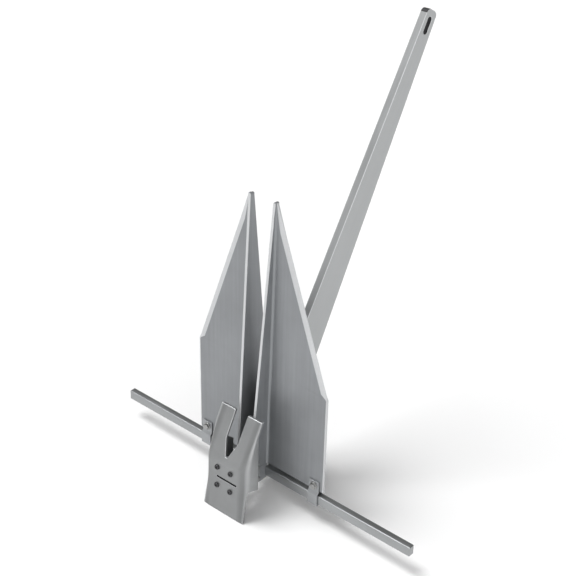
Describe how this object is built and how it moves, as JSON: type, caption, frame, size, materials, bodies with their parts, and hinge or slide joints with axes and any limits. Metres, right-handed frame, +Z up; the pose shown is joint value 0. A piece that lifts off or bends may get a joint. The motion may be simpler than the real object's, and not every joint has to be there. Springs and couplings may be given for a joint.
{
  "type": "pivoting-fluke boat anchor",
  "caption": "Lightweight bolted boat anchor: long tapered shank hinged on a flat cross stock between two pointed flukes, with a notched crown plate and palm on each side.",
  "frame": {"origin": "centre of the bounding box in X and Y, on the floor under the two palms", "axes": "+X along the stock, +Y towards the side the shank leans to, +Z up along the flukes towards their points"},
  "size_m": [0.672, 0.5438, 0.8002],
  "materials": {
    "satin_aluminium": "satin anodised",
    "extruded_aluminium": "satin anodised extrusion with a lengthwise grain",
    "stainless": "plain stainless fastener",
    "nylon": "natural nylon"
  },
  "bodies": {
    "fluke_frame": {"fluke_right": "satin_aluminium", "fluke_left": "satin_aluminium", "stock": "extruded_aluminium", "hinge_bush": "nylon", "hinge_washer_right": "nylon", "hinge_washer_left": "nylon", "crown_hood_front": "satin_aluminium", "crown_hood_rear": "satin_aluminium", "crown_yoke_front": "extruded_aluminium", "crown_yoke_rear": "extruded_aluminium", "stock_clip_left": "satin_aluminium", "stock_clip_right": "satin_aluminium", "clip_bolt_left": "stainless", "clip_bolt_right": "stainless", "clip_nut_left": "stainless", "clip_nut_right": "stainless", "hood_screw_front_1": "stainless", "hood_screw_front_2": "stainless", "hood_screw_front_3": "stainless", "hood_screw_front_4": "stainless", "hood_screw_rear_1": "stainless", "hood_screw_rear_2": "stainless", "hood_screw_rear_3": "stainless", "hood_screw_rear_4": "stainless", "yoke_bolt_front_1": "stainless", "yoke_bolt_front_2": "stainless", "yoke_bolt_front_3": "stainless", "yoke_bolt_front_4": "stainless", "yoke_bolt_rear_1": "stainless", "yoke_bolt_rear_2": "stainless", "yoke_bolt_rear_3": "stainless", "yoke_bolt_rear_4": "stainless"},
    "shank": {"shank": "extruded_aluminium"}
  },
  "joints": [
    {"name": "shank_swing", "type": "hinge", "parent": "fluke_frame", "child": "shank", "pos_m": [0, -0.17035, 0.048], "axis": [1, 0, 0], "range_deg": [0, 60]}
  ]
}
